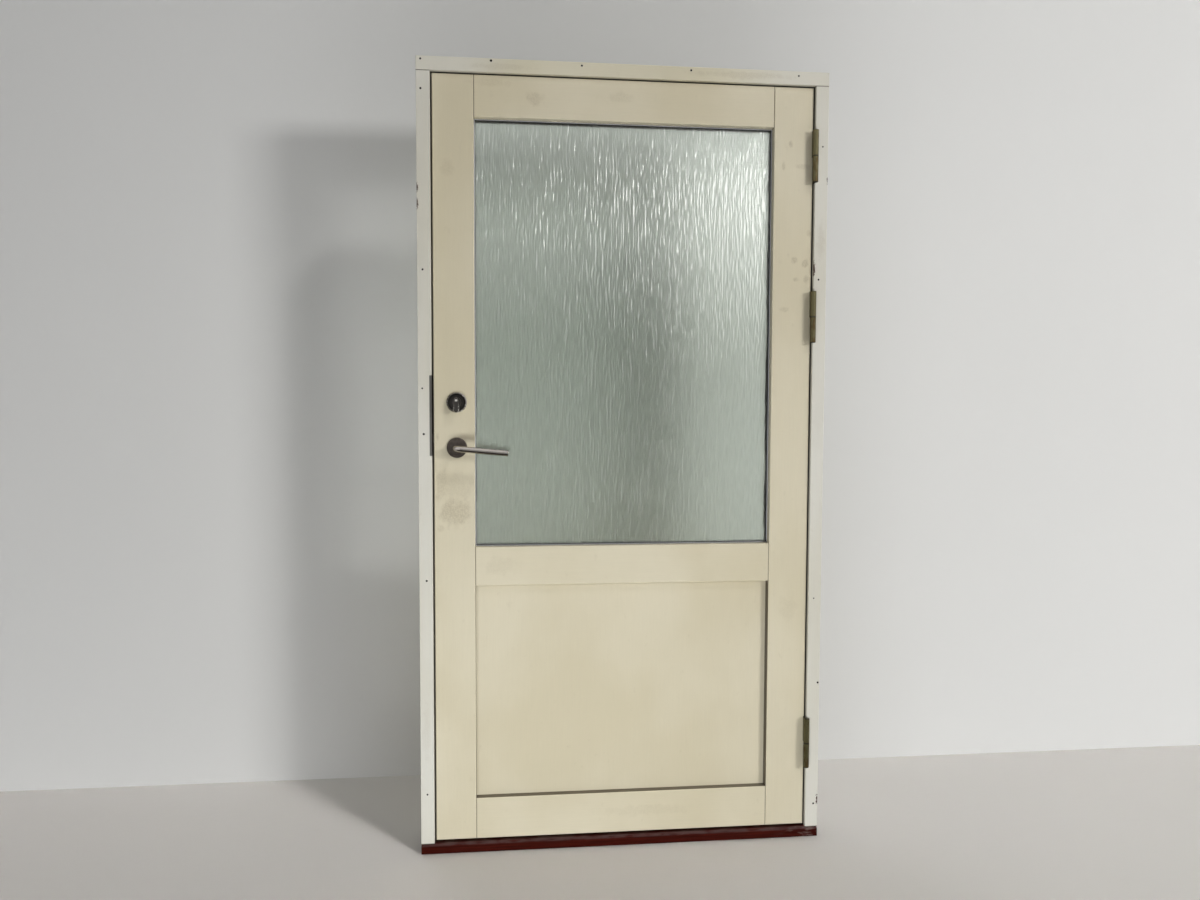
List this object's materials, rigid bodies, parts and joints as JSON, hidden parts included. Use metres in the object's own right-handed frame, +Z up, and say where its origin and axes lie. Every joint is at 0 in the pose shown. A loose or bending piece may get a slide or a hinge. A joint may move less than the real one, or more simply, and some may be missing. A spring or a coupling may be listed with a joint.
{
  "type": "glass door",
  "caption": "Painted timber door in its frame: hinged leaf with a large rippled glass light over a solid panel, lever handles, thumb-turn lock and lift-off hinges.",
  "frame": {"origin": "middle of the threshold's underside, at half the frame's depth", "axes": "+Z up, +X towards the hinge jamb, -Y towards the side that the leaf opens to"},
  "size_m": [1.088, 0.19, 2.088],
  "materials": {
    "frame_paint": "off-white gloss paint, chipped and nail-holed",
    "leaf_paint": "cream satin paint, rubbed and smudged",
    "threshold_stain": "dark red-brown lacquer, scuffed",
    "bare_wood": "bare softwood",
    "pattern_glass": "clear glass with a rippled rain pattern",
    "clear_glass": "clear float glass",
    "spacer_alloy": "mill finish",
    "pane_sealant": "black sealant",
    "glazing_gasket": "grey glazing strip",
    "weather_seal": "dark soft seal",
    "block_plastic": "packing plastic",
    "aged_brass": "tarnished olive brass",
    "lock_steel": "zinc-plated steel, dulled",
    "screw_steel": "passivated steel",
    "lever_steel": "polished stainless steel",
    "rose_bronze": "dark bronze finish, rubbed",
    "turn_chrome": "dark chrome plating"
  },
  "bodies": {
    "frame": {"frame_head": "frame_paint", "latch_jamb": "frame_paint", "hinge_jamb": "frame_paint", "threshold": "threshold_stain", "head_seal": "weather_seal", "latch_side_seal": "weather_seal", "hinge_side_seal": "weather_seal", "threshold_seal": "weather_seal", "strike_plate": "lock_steel", "strike_screws": "screw_steel", "frame_hinge_top": "aged_brass", "frame_hinge_middle": "aged_brass", "frame_hinge_bottom": "aged_brass", "hinge_pins": "lock_steel", "frame_hinge_screws": "screw_steel"},
    "leaf": {"latch_stile": "leaf_paint", "hinge_stile": "leaf_paint", "top_rail": "leaf_paint", "middle_rail": "leaf_paint", "bottom_rail": "leaf_paint", "rail_dowels": "bare_wood", "lower_panel": "leaf_paint", "panel_bead_top": "leaf_paint", "panel_bead_bottom": "leaf_paint", "panel_bead_latch_side": "leaf_paint", "panel_bead_hinge_side": "leaf_paint", "glazing_bead_top": "leaf_paint", "glazing_bead_bottom": "leaf_paint", "glazing_bead_latch_side": "leaf_paint", "glazing_bead_hinge_side": "leaf_paint", "front_pane": "pattern_glass", "rear_pane": "clear_glass", "spacer_frame": "spacer_alloy", "edge_seal": "pane_sealant", "front_gasket": "glazing_gasket", "rear_gasket": "glazing_gasket", "setting_blocks": "block_plastic", "leaf_hinge_top": "aged_brass", "leaf_hinge_middle": "aged_brass", "leaf_hinge_bottom": "aged_brass", "leaf_hinge_screws": "screw_steel", "lock_case": "lock_steel", "lock_cover": "lock_steel", "lock_faceplate": "lock_steel", "faceplate_screws": "screw_steel", "front_lever_rose": "rose_bronze", "rear_lever_rose": "rose_bronze", "turn_rose": "turn_chrome", "cylinder_rose": "turn_chrome", "key_cylinder": "turn_chrome"},
    "lever_set": {"front_lever": "lever_steel", "rear_lever": "lever_steel", "lever_spindle": "lock_steel", "lever_follower": "lock_steel"},
    "latch": {"latch_bolt": "lock_steel"},
    "turn": {"thumb_turn": "turn_chrome", "turn_follower": "lock_steel"},
    "bolt": {"dead_bolt": "lock_steel"}
  },
  "joints": [
    {"name": "door_swing", "type": "hinge", "parent": "frame", "child": "leaf", "pos_m": [0.507, -0.0655, 1.044], "axis": [0, 0, 1], "range_deg": [0, 175]},
    {"name": "lever_turn", "type": "hinge", "parent": "leaf", "child": "lever_set", "pos_m": [-0.445, -0.0205, 1.087], "axis": [0, 1, 0], "range_deg": [0, 40], "stiffness_Nm_per_rad": 1.5, "springref_deg": -28.65},
    {"name": "latch_slide", "type": "slide", "parent": "leaf", "child": "latch", "axis": [1, 0, 0], "range_m": [0, 0.012]},
    {"name": "turn_lock", "type": "hinge", "parent": "leaf", "child": "turn", "pos_m": [-0.445, -0.0205, 1.206], "axis": [0, -1, 0], "range_deg": [0, 90]},
    {"name": "bolt_throw", "type": "slide", "parent": "leaf", "child": "bolt", "axis": [-1, 0, 0], "range_m": [0, 0.02]}
  ],
  "couplings": [
    {"joint": "latch_slide", "follows": "lever_turn", "m_per_rad": 0.017188},
    {"joint": "bolt_throw", "follows": "turn_lock", "m_per_rad": 0.012732}
  ]
}
